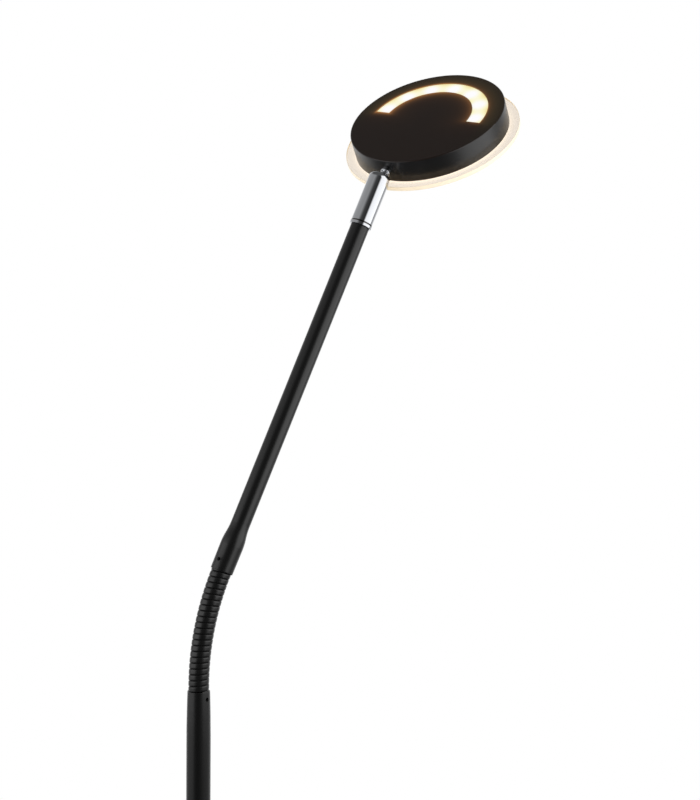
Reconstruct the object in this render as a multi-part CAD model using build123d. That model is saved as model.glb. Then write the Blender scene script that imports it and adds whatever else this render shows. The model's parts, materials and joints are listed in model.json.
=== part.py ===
from build123d import *
from math import cos, pi, radians, sin, sqrt
import os

# Task floor lamp: weighted base, two-piece pole, gooseneck, arm, ball knuckle and flat drum head.
# Millimetres and degrees. The origin is on the floor under the pole, +Z is up, the arm leans to +X.

# Clearances
FIT = 0.05
RUN = 0.08
FREE = 0.3

# Base
BASE_RADIUS = 120
BASE_HEIGHT = 24
COVER_WALL = 1.5
COVER_EDGE = 8
COVER_LIFT = 1
PAD_THICK = 2
PAD_INSET = 1
PLATE_THICK = 1.6
WEIGHT_THICK = 12
WEIGHT_RECESS_RADIUS = 16
WEIGHT_RECESS_DEPTH = 8
BOSS_COUNT = 3
BOSS_CIRCLE = 80
BOSS_RADIUS = 6
PLATE_SCREW_RADIUS = 2
PLATE_SCREW_HEAD_RADIUS = 3.6
PLATE_SCREW_LENGTH = 14
PLATE_SCREW_DRIVE = 2.5
STUD_RADIUS = 5
STUD_BORE = 3.4
STUD_PLUG_LENGTH = 30
STUD_TAIL = 0.7
POLE_NUT_ACROSS = 17
POLE_NUT_THICK = 5
POLE_WASHER_RADIUS = 13
POLE_WASHER_THICK = 1.5

# Cord inlet in the back of the base
INLET_HEIGHT = 7.5
INLET_BORE = 3.2
GROMMET_BODY_RADIUS = 4.5
GROMMET_FLANGE_RADIUS = 5.6
GROMMET_FLANGE_THICK = 1.5
LEAD_RADIUS = 1.9
LEAD_BEND = 6.5

# Pole
POLE_RADIUS = 10.5
POLE_WALL = 1.2
POLE_TOP = 900
POLE_JOINT = 460
POLE_JOINT_CHAMFER = 0.3
JOINER_LENGTH = 60
JOINER_BORE = 5
MOUTH_RADIUS = 9.75
MOUTH_TAPER = 46
MOUTH_ROUND = 0.6

# Gooseneck
NECK_CREST = 8.95
NECK_WIRE = 2.17
NECK_TURNS = 22
NECK_BEND = 23.74
NECK_ARC = 101.06
NECK_STRAIGHT = 8.3
NECK_SEAT = 4.4
NECK_START_ANGLE = 90
CORE_WALL = 1.3
SOCKET_GAP = 0.2
FERRULE_LENGTH = 15

# Arm
ARM_RADIUS = 8.4
ARM_WALL = 1.2
ARM_LENGTH = 327.5
FLARE_RIM = 10
FLARE_RADIUS = 10.2
FLARE_SOCKET = 23.9
FLARE_CURVE = 20
FLARE_ROUND = 0.7
SPIGOT_PLUG_LENGTH = 25
SPIGOT_NECK_RADIUS = 4.5
SPIGOT_FLANGE_RADIUS = 6.3
SPIGOT_FLANGE_THICK = 3

# Set screws: depth from the socket's rim, direction round the tube
SET_SCREW_RADIUS = 1.75
SET_SCREW_LENGTH = 4
SET_SCREW_SUNK = 0.8
SET_SCREW_DRIVE = 2
SET_SCREW_DRIVE_DEPTH = 1.6
POLE_SCREW_DEPTH = 6.4
POLE_SCREW_ANGLE = -65
ARM_SCREW_DEPTH = 9.1
ARM_SCREW_ANGLE = 208

# Knuckle: chrome cup on the arm, with the ball inside its dome
CUP_RADIUS = 9.8
CUP_RING_HEIGHT = 3
CUP_RING_LIP = 0.3
CUP_RING_BOSS = 6
CUP_REVEAL_HEIGHT = 0.7
CUP_REVEAL_DEPTH = 0.9
CUP_CHAMFER = 0.3
BALL_HEIGHT = 46.5
BALL_RADIUS = 6.6
DOME_HEIGHT = 5.1
DOME_MOUTH = 5
SLOT_RADIUS = 3.5
BALL_SEAT_HEIGHT = 13
BALL_SEAT_SUNK = 3
BALL_SEAT_BORE = 2.8
SPRING_WIRE = 0.7
SPRING_RADIUS = 4.8
SPRING_TURNS = 5

# Ball stem
HEAD_TURN = 32.57
HEAD_TILT = 31.74
HEAD_ROLL = -5.54
STEM_NECK_RADIUS = 3
STEM_COLLAR_RADIUS = 4.7
STEM_COLLAR_THICK = 4.8
STEM_COLLAR_ROUND = 1
STEM_REACH = 14
SHANK_RADIUS = 2.8
SHANK_BORE = 1.2
SHANK_TAIL = 0.5
STEM_WASHER_RADIUS = 5
STEM_WASHER_THICK = 1
STEM_NUT_ACROSS = 8
STEM_NUT_THICK = 4
STEM_LEAD_RADIUS = 0.9
BELL_MOUTH_RADIUS = 3.2
BELL_MOUTH_DEPTH = 4

# Head: heights are from the level of the stem's axis
DRUM_RADIUS = 72.5
DRUM_HEIGHT = 21
DRUM_TOP = 10
DRUM_WALL = 1.5
DRUM_ROUND = 1
SLOT_INNER = 42.3
SLOT_OUTER = 57.1
STRIP_SUNK = 0.6
STRIP_GAP = 0.15
STRIP_FLANGE = 2
STRIP_FLANGE_THICK = 1.5
CARRIER_GAP = 3.2
CARRIER_THICK = 1.5
CARRIER_HEIGHT = 2.2
POST_COUNT = 3
POST_CIRCLE = 32
POST_RADIUS = 3.2
CARRIER_SCREW_RADIUS = 1.25
CARRIER_SCREW_LENGTH = 5
CARRIER_SCREW_HEAD_RADIUS = 2.5
CARRIER_SCREW_HEAD_THICK = 1.6
BOARD_THICK = 1.2
UP_BOARD_MARGIN = 0.7
UP_CHIP_COUNT = 7
UP_CHIP_STEP = 27.2
UP_CHIP_SIZE = 5
UP_CHIP_THICK = 1.4
DOWN_BOARD_INNER = 38
DOWN_BOARD_MARGIN = 2
DOWN_CHIP_COUNT = 24
DOWN_CHIP_SIZE = 3
DOWN_CHIP_THICK = 0.8
DRIVER_LENGTH = 36
DRIVER_WIDTH = 26
TERMINAL_SIZE = 6
TERMINAL_DROP = 2
COIL_SIZE = 8
COIL_THICK = 4
CAPACITOR_RADIUS = 2.5
CAPACITOR_LENGTH = 6
DISC_RIM = 9.5
DISC_THICK = 4
DISC_PLUG_THICK = 1.8
DISC_PLUG_GAP = 0.5
DISC_ROUND = 0.4
GASKET_HEIGHT = 0.8
GASKET_DEPTH = 0.8

# Levels worked out from the sizes above
POLE_BORE = POLE_RADIUS - POLE_WALL
COVER_INNER = BASE_RADIUS - COVER_WALL
GROMMET_INNER_FACE = sqrt(COVER_INNER**2 - GROMMET_FLANGE_RADIUS**2) - RUN
GROMMET_END = GROMMET_INNER_FACE - GROMMET_FLANGE_THICK
WEIGHT_RADIUS = GROMMET_END - FREE
WEIGHT_TOP = BASE_HEIGHT - COVER_WALL
WEIGHT_BOTTOM = WEIGHT_TOP - WEIGHT_THICK
PLATE_TOP = PAD_THICK + PLATE_THICK
RECESS_TOP = WEIGHT_BOTTOM + WEIGHT_RECESS_DEPTH
POLE_WASHER_BOTTOM = RECESS_TOP - POLE_WASHER_THICK
POLE_NUT_BOTTOM = POLE_WASHER_BOTTOM - POLE_NUT_THICK
STUD_END = POLE_NUT_BOTTOM - STUD_TAIL
SOCKET_BORE = NECK_CREST + SOCKET_GAP
FERRULE_RADIUS = SOCKET_BORE - FIT
FERRULE_BORE = LEAD_RADIUS + FREE
WINDING_RADIUS = NECK_CREST - NECK_WIRE
CORE_RADIUS = WINDING_RADIUS - NECK_WIRE - FREE
CORE_BORE = CORE_RADIUS - CORE_WALL
NECK_LENGTH = NECK_STRAIGHT + NECK_ARC + NECK_SEAT
NECK_FOOT = POLE_TOP - NECK_SEAT
ARM_BORE = ARM_RADIUS - ARM_WALL
CUP_BORE = BALL_RADIUS + RUN
BALL_SEAT_TOP = BALL_HEIGHT - BALL_SEAT_SUNK
BALL_SEAT_BOTTOM = BALL_SEAT_TOP - BALL_SEAT_HEIGHT
SPIGOT_FLANGE_BOTTOM = CUP_RING_HEIGHT + CUP_RING_BOSS + FREE
SPIGOT_TOP = SPIGOT_FLANGE_BOTTOM + SPIGOT_FLANGE_THICK
DRUM_BOTTOM = DRUM_TOP - DRUM_HEIGHT
DRUM_CEILING = DRUM_TOP - DRUM_WALL
DRUM_BORE = DRUM_RADIUS - DRUM_WALL
DRUM_CENTRE = STEM_REACH + DRUM_RADIUS
COLLAR_TOP = STEM_REACH - FREE / 2
COLLAR_BOTTOM = COLLAR_TOP - STEM_COLLAR_THICK
STEM_WASHER_FOOT = DRUM_CENTRE - sqrt(DRUM_BORE**2 - STEM_WASHER_RADIUS**2) + RUN
STEM_NUT_FOOT = STEM_WASHER_FOOT + STEM_WASHER_THICK
SHANK_END = STEM_NUT_FOOT + STEM_NUT_THICK + SHANK_TAIL
CARRIER_RADIUS = DRUM_CENTRE - SHANK_END - CARRIER_GAP
CARRIER_TOP = CARRIER_HEIGHT + CARRIER_THICK
DOWN_BOARD_OUTER = CARRIER_RADIUS - DOWN_BOARD_MARGIN
DISC_RADIUS = DRUM_RADIUS + DISC_RIM
STRIP_FLANGE_BOTTOM = DRUM_CEILING - STRIP_FLANGE_THICK

# Directions and frames of the leaning parts
LEAN = radians(NECK_BEND)
NECK_BEND_RADIUS = NECK_ARC / LEAN
ARM_AXIS = Vector(sin(LEAN), 0, cos(LEAN))
ARM_OUT = Vector(cos(LEAN), 0, -sin(LEAN))
SIDE = Vector(0, 1, 0)
TILT_SIDE = ARM_OUT * cos(radians(HEAD_TURN)) + SIDE * sin(radians(HEAD_TURN))
STEM_AXIS = ARM_AXIS * cos(radians(HEAD_TILT)) + TILT_SIDE * sin(radians(HEAD_TILT))
STEM_UP = ARM_AXIS * sin(radians(HEAD_TILT)) - TILT_SIDE * cos(radians(HEAD_TILT))
HEAD_UP = STEM_UP.rotate(Axis((0, 0, 0), STEM_AXIS), HEAD_ROLL)


# Shapes used by several pieces


def turned(*points):
    """Solid of revolution about Z through (radius, height) points."""
    outline = Polyline(*[(radius, 0, height) for radius, height in points], close=True)
    return revolve(make_face(outline), Axis.Z)


def tube(inner, outer, bottom, top):
    """Round tube or, with inner 0, a round bar along Z."""
    return turned((inner, bottom), (outer, bottom), (outer, top), (inner, top))


def bar(radius, start, end):
    """Round bar between two heights on Z."""
    return tube(0, radius, start, end)


def bar_along_x(radius, start, end):
    """Round bar along X."""
    return Rot(0, 90, 0) * bar(radius, start, end)


def hexagon(across, bottom, top):
    """Hexagonal bar along Z, by its width across flats."""
    outline = RegularPolygon(across / 2, 6, major_radius=False)
    return Pos(0, 0, bottom) * extrude(outline, top - bottom)


def half_ring(inner, outer, bottom, top, start):
    """The part of a flat ring whose X is at least start."""
    keep = Pos(start, 0, bottom) * Box(
        2 * outer, 3 * outer, top - bottom, align=(Align.MIN, Align.CENTER, Align.MIN)
    )
    return tube(inner, outer, bottom, top) & keep


def s_curve(start, end):
    """Two tangent arcs from one (radius, height) to another, both ends along Z."""
    first = Vector(start[0], 0, start[1])
    last = Vector(end[0], 0, end[1])
    middle = (first + last) / 2
    rise = Vector(0, 0, end[1] - start[1])
    lower = TangentArc(first, middle, tangent=rise)
    upper = TangentArc(middle, last, tangent=lower % 1)
    return [lower, upper]


def polar(radius, angle, height=0):
    """Point at a radius and an angle in degrees."""
    return (radius * cos(radians(angle)), radius * sin(radians(angle)), height)


def biarc(start, start_way, end, end_way):
    """Two tangent arcs between two points with given unit directions."""
    across = end - start
    ways = start_way + end_way
    a = 2 * (start_way.dot(end_way) - 1)
    b = -2 * across.dot(ways)
    c = across.dot(across)
    reach = (-b - sqrt(b * b - 4 * a * c)) / (2 * a)
    first = start + start_way * reach
    second = end - end_way * reach
    joint = (first + second) / 2
    way = (second - first).normalized()
    return [TangentArc(start, joint, tangent=start_way), TangentArc(joint, end, tangent=way)]


def winding(name, axis_frame, start, end, radius, wire, turns, start_angle):
    """One unbroken wire wound right-handed round an axis, on biarcs of half a turn."""

    def point(turn):
        middle, out, side = axis_frame(start + (end - start) * turn / turns)
        angle = radians(start_angle) + 2 * pi * turn
        return middle + out * (radius * cos(angle)) + side * (radius * sin(angle))

    def way(turn):
        step = 0.001
        return (point(turn + step) - point(turn - step)).normalized()

    halves = round(2 * turns)
    edges = []
    for half in range(halves):
        edges += biarc(point(half / 2), way(half / 2), point((half + 1) / 2), way((half + 1) / 2))
    steps = 16
    marks = [point(i / steps) for i in range(round(turns * steps) + 1)]
    gap = min(
        (marks[i] - marks[j]).length
        for i in range(len(marks))
        for j in range(i + steps // 2, min(i + 2 * steps, len(marks)))
    )
    print(name, "least gap to itself", round(gap - 2 * wire, 3), "mm")
    section = Plane(origin=point(0), z_dir=way(0)) * Circle(wire)
    return sweep(section, path=Wire(edges))


def neck_frame(length):
    """Point on the gooseneck's axis, its outward and its sideways direction."""
    bend = min(max(length - NECK_STRAIGHT, 0), NECK_ARC) / NECK_BEND_RADIUS
    along = Vector(sin(bend), 0, cos(bend))
    out = Vector(cos(bend), 0, -sin(bend))
    straight = min(length, NECK_STRAIGHT)
    past = max(length - NECK_STRAIGHT - NECK_ARC, 0)
    foot = Vector(0, 0, NECK_FOOT + straight)
    arc = Vector(1 - cos(bend), 0, sin(bend)) * NECK_BEND_RADIUS
    return foot + arc + along * past, out, SIDE


def straight_frame(length):
    """Point on the Z axis, with X and Y as the directions across it."""
    return Vector(0, 0, length), Vector(1, 0, 0), SIDE


def neck_path():
    """The gooseneck's axis: straight, arc, straight."""
    foot = neck_frame(0)[0]
    lower = neck_frame(NECK_STRAIGHT)[0]
    upper = neck_frame(NECK_STRAIGHT + NECK_ARC)[0]
    top = neck_frame(NECK_LENGTH)[0]
    arc = TangentArc(lower, upper, tangent=(0, 0, 1))
    return Wire([Line(foot, lower), arc, Line(upper, top)])


def along_neck(section):
    """Sweep a section, drawn on the XY plane, along the gooseneck's axis."""
    return sweep(Pos(0, 0, NECK_FOOT) * section, path=neck_path())


def set_screw_frame(angle, depth, sense):
    """Frame on a tube's rim: X points out along the screw, depth is measured along sense."""
    return Pos(0, 0, depth * sense) * Rot(0, 0, angle)


def set_screw(outer):
    """Socket set screw along X, its head sunk under the tube's face at radius outer."""
    head = outer - SET_SCREW_SUNK
    screw = bar_along_x(SET_SCREW_RADIUS, head - SET_SCREW_LENGTH, head)
    drive = Rot(0, 90, 0) * hexagon(SET_SCREW_DRIVE, head - SET_SCREW_DRIVE_DEPTH, head + FIT)
    return screw - drive


def set_screw_hole(outer):
    """Hole along X for the set screw, through the tube and into the ferrule."""
    start = outer - SET_SCREW_SUNK - SET_SCREW_LENGTH - FIT
    return bar_along_x(SET_SCREW_RADIUS + FIT, start, outer + SET_SCREW_RADIUS)


# Frames that place the leaning parts
NECK_HEAD = neck_frame(NECK_LENGTH)[0]
ARM_FOOT = NECK_HEAD - ARM_AXIS * NECK_SEAT
CUP_FOOT = ARM_FOOT + ARM_AXIS * ARM_LENGTH
BALL_CENTRE = CUP_FOOT + ARM_AXIS * BALL_HEIGHT
ARM_FRAME = Plane(origin=ARM_FOOT, x_dir=ARM_OUT, z_dir=ARM_AXIS)
CUP_FRAME = Plane(origin=CUP_FOOT, x_dir=TILT_SIDE, z_dir=ARM_AXIS)
STEM_FRAME = Plane(origin=BALL_CENTRE, x_dir=STEM_UP, z_dir=STEM_AXIS)
HEAD_FRAME = Plane(origin=BALL_CENTRE + STEM_AXIS * DRUM_CENTRE, x_dir=STEM_AXIS, z_dir=HEAD_UP)
POLE_SCREW = Pos(0, 0, POLE_TOP) * set_screw_frame(POLE_SCREW_ANGLE, POLE_SCREW_DEPTH, -1)
ARM_SCREW = set_screw_frame(ARM_SCREW_ANGLE, ARM_SCREW_DEPTH, 1)
BOSS_SPOTS = [polar(BOSS_CIRCLE, 360 * i / BOSS_COUNT) for i in range(BOSS_COUNT)]
POST_SPOTS = [polar(POST_CIRCLE, 360 * i / POST_COUNT) for i in range(POST_COUNT)]


# Base


def base_cover():
    """Spun dish with a rounded upper edge, holes for the stud and the grommet."""
    hole = STUD_RADIUS + FREE
    shoulder = BASE_RADIUS - COVER_EDGE
    side_top = BASE_HEIGHT - COVER_EDGE
    outline = [
        Polyline((hole, 0, WEIGHT_TOP), (hole, 0, BASE_HEIGHT), (shoulder, 0, BASE_HEIGHT)),
        TangentArc((shoulder, 0, BASE_HEIGHT), (BASE_RADIUS, 0, side_top), tangent=(1, 0, 0)),
        Polyline(
            (BASE_RADIUS, 0, side_top),
            (BASE_RADIUS, 0, COVER_LIFT),
            (COVER_INNER, 0, COVER_LIFT),
            (COVER_INNER, 0, side_top),
        ),
        TangentArc((COVER_INNER, 0, side_top), (shoulder, 0, WEIGHT_TOP), tangent=(0, 0, 1)),
        Line((shoulder, 0, WEIGHT_TOP), (hole, 0, WEIGHT_TOP)),
    ]
    dish = revolve(make_face(outline), Axis.Z)
    inlet = bar_along_x(GROMMET_BODY_RADIUS + FIT, -BASE_RADIUS - COVER_WALL, -COVER_INNER + COVER_WALL)
    return dish - Pos(0, 0, INLET_HEIGHT) * inlet


def base_weight():
    """Cast disc under the cover, with a recess for the nut and bosses for the bottom plate."""
    disc = turned(
        (STUD_RADIUS + FREE, WEIGHT_BOTTOM),
        (WEIGHT_RADIUS, WEIGHT_BOTTOM),
        (WEIGHT_RADIUS, BASE_HEIGHT - COVER_EDGE),
        (BASE_RADIUS - COVER_EDGE, WEIGHT_TOP),
        (STUD_RADIUS + FREE, WEIGHT_TOP),
    )
    disc -= bar(WEIGHT_RECESS_RADIUS, WEIGHT_BOTTOM - FREE, RECESS_TOP)
    for spot in BOSS_SPOTS:
        disc += Pos(*spot) * bar(BOSS_RADIUS, PLATE_TOP, WEIGHT_BOTTOM + FREE)
    hole_end = PAD_THICK + PLATE_SCREW_LENGTH + FREE
    for spot in BOSS_SPOTS:
        disc -= Pos(*spot) * bar(PLATE_SCREW_RADIUS + FIT, PLATE_TOP - FREE, hole_end)
    return disc


def countersunk(clear, length):
    """Countersunk screw body standing on its head, larger by clear."""
    head = PLATE_SCREW_HEAD_RADIUS + clear
    shaft = PLATE_SCREW_RADIUS + clear
    return turned((0, 0), (head, 0), (shaft, PLATE_THICK), (shaft, length), (0, length))


def base_plate():
    """Steel disc that closes the base."""
    disc = bar(WEIGHT_RADIUS, PAD_THICK, PLATE_TOP)
    for spot in BOSS_SPOTS:
        disc -= Pos(*spot) * Pos(0, 0, PAD_THICK) * countersunk(FIT, PLATE_SCREW_LENGTH)
    return disc


def base_screws():
    """Screws that hold the plate to the bosses."""
    drive = hexagon(PLATE_SCREW_DRIVE, -FIT, PLATE_THICK)
    screw = countersunk(0, PLATE_SCREW_LENGTH) - drive
    return [Pos(*spot) * Pos(0, 0, PAD_THICK) * screw for spot in BOSS_SPOTS]


def base_pad():
    """Felt disc that the lamp stands on."""
    return bar(WEIGHT_RADIUS - PAD_INSET, 0, PAD_THICK)


def pole_stud():
    """Plug in the pole's foot, with the hollow stud that goes through the base."""
    plug_top = BASE_HEIGHT + STUD_PLUG_LENGTH
    return turned(
        (STUD_BORE, STUD_END),
        (STUD_RADIUS, STUD_END),
        (STUD_RADIUS, BASE_HEIGHT),
        (POLE_BORE - FIT, BASE_HEIGHT),
        (POLE_BORE - FIT, plug_top),
        (STUD_BORE, plug_top),
    )


def pole_washer():
    return tube(STUD_RADIUS + FIT, POLE_WASHER_RADIUS, POLE_WASHER_BOTTOM, RECESS_TOP)


def pole_nut():
    nut = hexagon(POLE_NUT_ACROSS, POLE_NUT_BOTTOM, POLE_WASHER_BOTTOM)
    return nut - bar(STUD_RADIUS + FIT, POLE_NUT_BOTTOM - FREE, POLE_WASHER_BOTTOM + FREE)


def cord_grommet():
    """Rubber grommet in the cover's wall, open for a supply cord."""
    face = BASE_RADIUS + FIT
    ring = turned(
        (INLET_BORE, GROMMET_END),
        (GROMMET_FLANGE_RADIUS, GROMMET_END),
        (GROMMET_FLANGE_RADIUS, GROMMET_INNER_FACE),
        (GROMMET_BODY_RADIUS, GROMMET_INNER_FACE),
        (GROMMET_BODY_RADIUS, face),
        (GROMMET_FLANGE_RADIUS, face),
        (GROMMET_FLANGE_RADIUS, face + GROMMET_FLANGE_THICK),
        (INLET_BORE, face + GROMMET_FLANGE_THICK),
    )
    return Pos(0, 0, INLET_HEIGHT) * Rot(0, -90, 0) * ring


def pole_lead():
    """Supply lead from the inlet, through the stud and up the pole to the lower ferrule."""
    start = (FREE - GROMMET_END, 0, INLET_HEIGHT)
    turn = (-LEAD_BEND, 0, INLET_HEIGHT)
    rise = (0, 0, INLET_HEIGHT + LEAD_BEND)
    path = Wire([Line(start, turn), TangentArc(turn, rise, tangent=(1, 0, 0)), Line(rise, (0, 0, NECK_FOOT))])
    section = Plane(origin=start, z_dir=(1, 0, 0)) * Circle(LEAD_RADIUS)
    return sweep(section, path=path)


# Pole


def lower_pole():
    pole = tube(POLE_BORE, POLE_RADIUS, BASE_HEIGHT, POLE_JOINT)
    return chamfer(pole.edges().group_by(Axis.Z)[-1].sort_by(SortBy.RADIUS)[-1], POLE_JOINT_CHAMFER)


def pole_joiner():
    """Sleeve inside both pole tubes."""
    half = JOINER_LENGTH / 2
    return tube(JOINER_BORE, POLE_BORE - FIT, POLE_JOINT - half, POLE_JOINT + half)


def upper_pole():
    """Tube whose top narrows by one long arc into the mouth that holds the gooseneck."""
    taper_foot = POLE_TOP - MOUTH_TAPER
    bore_foot = NECK_FOOT - FERRULE_LENGTH
    outline = [
        Line((POLE_BORE, 0, POLE_JOINT), (POLE_RADIUS, 0, POLE_JOINT)),
        Line((POLE_RADIUS, 0, POLE_JOINT), (POLE_RADIUS, 0, taper_foot)),
        TangentArc((POLE_RADIUS, 0, taper_foot), (MOUTH_RADIUS, 0, POLE_TOP), tangent=(0, 0, 1)),
        Polyline(
            (MOUTH_RADIUS, 0, POLE_TOP),
            (SOCKET_BORE, 0, POLE_TOP),
            (SOCKET_BORE, 0, bore_foot),
            (POLE_BORE, 0, taper_foot),
            (POLE_BORE, 0, POLE_JOINT),
        ),
    ]
    pole = revolve(make_face(outline), Axis.Z)
    rim = pole.edges().group_by(Axis.Z)[-1].sort_by(SortBy.RADIUS)[-1]
    pole = fillet(rim, min(MOUTH_ROUND, (MOUTH_RADIUS - SOCKET_BORE) * 0.8))
    foot = pole.edges().group_by(Axis.Z)[0].sort_by(SortBy.RADIUS)[-1]
    pole = chamfer(foot, POLE_JOINT_CHAMFER)
    return pole - POLE_SCREW * set_screw_hole(MOUTH_RADIUS)


def pole_set_screw():
    return POLE_SCREW * set_screw(MOUTH_RADIUS)


# Gooseneck


def lower_ferrule():
    """Bush in the pole's mouth that the gooseneck stands on."""
    bush = tube(FERRULE_BORE, FERRULE_RADIUS, NECK_FOOT - FERRULE_LENGTH, NECK_FOOT)
    return bush - POLE_SCREW * set_screw_hole(MOUTH_RADIUS)


def neck_winding():
    """Outer wire of the gooseneck, wound along its bent axis."""
    seat = NECK_WIRE + FIT
    return winding(
        "neck_winding",
        neck_frame,
        seat,
        NECK_LENGTH - seat,
        WINDING_RADIUS,
        NECK_WIRE,
        NECK_TURNS,
        NECK_START_ANGLE,
    )


def neck_core():
    """Sleeve inside the winding that guards the lead."""
    return along_neck(Circle(CORE_RADIUS) - Circle(CORE_BORE))


def neck_lead():
    return along_neck(Circle(LEAD_RADIUS))


def upper_ferrule():
    """Bush in the arm's flare, on top of the gooseneck."""
    bush = tube(FERRULE_BORE, FERRULE_RADIUS, NECK_SEAT, NECK_SEAT + FERRULE_LENGTH)
    return ARM_FRAME * (bush - ARM_SCREW * set_screw_hole(FLARE_RIM))


# Arm


def arm_tube():
    """Slim tube, swaged at its foot into a wider socket."""
    top = ARM_LENGTH - FREE
    curve_top = FLARE_SOCKET + FLARE_CURVE
    bore_foot = NECK_SEAT + FERRULE_LENGTH + FREE
    outline = [
        Polyline((SOCKET_BORE, 0, 0), (FLARE_RIM, 0, 0), (FLARE_RADIUS, 0, FLARE_SOCKET)),
        *s_curve((FLARE_RADIUS, FLARE_SOCKET), (ARM_RADIUS, curve_top)),
        Polyline((ARM_RADIUS, 0, curve_top), (ARM_RADIUS, 0, top), (ARM_BORE, 0, top)),
        Line((ARM_BORE, 0, top), (ARM_BORE, 0, curve_top)),
        *s_curve((ARM_BORE, curve_top), (SOCKET_BORE, bore_foot)),
        Line((SOCKET_BORE, 0, bore_foot), (SOCKET_BORE, 0, 0)),
    ]
    arm = revolve(make_face(outline), Axis.Z)
    rim = arm.edges().group_by(Axis.Z)[0].sort_by(SortBy.RADIUS)[-1]
    arm = fillet(rim, min(FLARE_ROUND, (FLARE_RIM - SOCKET_BORE) * 0.8))
    return ARM_FRAME * (arm - ARM_SCREW * set_screw_hole(FLARE_RIM))


def arm_set_screw():
    return ARM_FRAME * ARM_SCREW * set_screw(FLARE_RIM)


def arm_lead():
    """Lead from the gooseneck to the underside of the ball."""
    return ARM_FRAME * bar(LEAD_RADIUS, NECK_SEAT, ARM_LENGTH + BALL_SEAT_BOTTOM)


def arm_spigot():
    """Plug in the arm's end, with the flanged neck that the cup turns on."""
    spigot = turned(
        (FERRULE_BORE, -SPIGOT_PLUG_LENGTH),
        (ARM_BORE - FIT, -SPIGOT_PLUG_LENGTH),
        (ARM_BORE - FIT, -FREE),
        (SPIGOT_NECK_RADIUS, -FREE),
        (SPIGOT_NECK_RADIUS, SPIGOT_FLANGE_BOTTOM),
        (SPIGOT_FLANGE_RADIUS, SPIGOT_FLANGE_BOTTOM),
        (SPIGOT_FLANGE_RADIUS, SPIGOT_TOP),
        (FERRULE_BORE, SPIGOT_TOP),
    )
    return CUP_FRAME * spigot


# Knuckle


def cup_ring():
    """Chrome ring screwed into the cup's foot, under the spigot's flange."""
    hole = SPIGOT_NECK_RADIUS + RUN
    outer = CUP_RADIUS + CUP_RING_LIP
    boss = CUP_BORE - FIT
    boss_top = CUP_RING_HEIGHT + CUP_RING_BOSS
    ring = turned(
        (hole, 0),
        (outer - CUP_CHAMFER, 0),
        (outer, CUP_CHAMFER),
        (outer, CUP_RING_HEIGHT - CUP_CHAMFER),
        (outer - CUP_CHAMFER, CUP_RING_HEIGHT),
        (boss, CUP_RING_HEIGHT),
        (boss, boss_top),
        (hole, boss_top),
    )
    return CUP_FRAME * ring


def ball_cup():
    """Chrome cup with a groove above its ring, its dome round the ball and slotted for the stem."""
    dome_top = BALL_HEIGHT + DOME_HEIGHT
    reveal = CUP_RADIUS - CUP_REVEAL_DEPTH
    reveal_top = CUP_RING_HEIGHT + CUP_REVEAL_HEIGHT
    outline = [
        Polyline(
            (CUP_BORE, 0, BALL_HEIGHT),
            (CUP_BORE, 0, CUP_RING_HEIGHT),
            (reveal, 0, CUP_RING_HEIGHT),
            (reveal, 0, reveal_top),
            (CUP_RADIUS - CUP_CHAMFER, 0, reveal_top),
            (CUP_RADIUS, 0, reveal_top + CUP_CHAMFER),
            (CUP_RADIUS, 0, BALL_HEIGHT),
        ),
        TangentArc((CUP_RADIUS, 0, BALL_HEIGHT), (DOME_MOUTH, 0, dome_top), tangent=(0, 0, 1)),
        Polyline((DOME_MOUTH, 0, dome_top), (DOME_MOUTH, 0, BALL_HEIGHT), (CUP_BORE, 0, BALL_HEIGHT)),
    ]
    cup = revolve(make_face(outline), Axis.Z) - Pos(0, 0, BALL_HEIGHT) * Sphere(CUP_BORE)
    slot = Box(
        2 * CUP_RADIUS, 2 * SLOT_RADIUS, 2 * DOME_HEIGHT, align=(Align.MIN, Align.CENTER, Align.MIN)
    )
    slot += bar_along_x(SLOT_RADIUS, 0, 2 * CUP_RADIUS)
    return CUP_FRAME * (cup - Pos(0, 0, BALL_HEIGHT) * slot)


def ball_seat():
    """Nylon seat pressed up against the ball."""
    seat = tube(BALL_SEAT_BORE, CUP_BORE - FIT, BALL_SEAT_BOTTOM, BALL_SEAT_TOP)
    return CUP_FRAME * (seat - Pos(0, 0, BALL_HEIGHT) * Sphere(BALL_RADIUS + RUN))


def seat_spring():
    """Spring between the spigot and the seat."""
    end_gap = SPRING_WIRE + RUN
    spring = winding(
        "seat_spring",
        straight_frame,
        SPIGOT_TOP + end_gap,
        BALL_SEAT_BOTTOM - end_gap,
        SPRING_RADIUS,
        SPRING_WIRE,
        SPRING_TURNS,
        0,
    )
    return CUP_FRAME * spring


# Ball stem


def ball_stem():
    """Ball, neck, collar and shank in one piece, bored for the lead."""
    stem = Sphere(BALL_RADIUS)
    stem += bar(STEM_NECK_RADIUS, 0, COLLAR_BOTTOM)
    collar = bar(STEM_COLLAR_RADIUS, COLLAR_BOTTOM, COLLAR_TOP)
    stem += fillet(collar.edges().filter_by(GeomType.CIRCLE), STEM_COLLAR_ROUND)
    stem += bar(SHANK_RADIUS, COLLAR_TOP, SHANK_END)
    stem -= bar(SHANK_BORE, -2 * BALL_RADIUS, 2 * SHANK_END)
    bell = turned(
        (0, -BALL_RADIUS),
        (BELL_MOUTH_RADIUS, -BALL_RADIUS),
        (SHANK_BORE, BELL_MOUTH_DEPTH - BALL_RADIUS),
        (0, BELL_MOUTH_DEPTH - BALL_RADIUS),
    )
    return STEM_FRAME * (stem - bell)


def stem_washer():
    washer = tube(SHANK_RADIUS + FIT, STEM_WASHER_RADIUS, STEM_WASHER_FOOT, STEM_NUT_FOOT)
    return STEM_FRAME * washer


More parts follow.
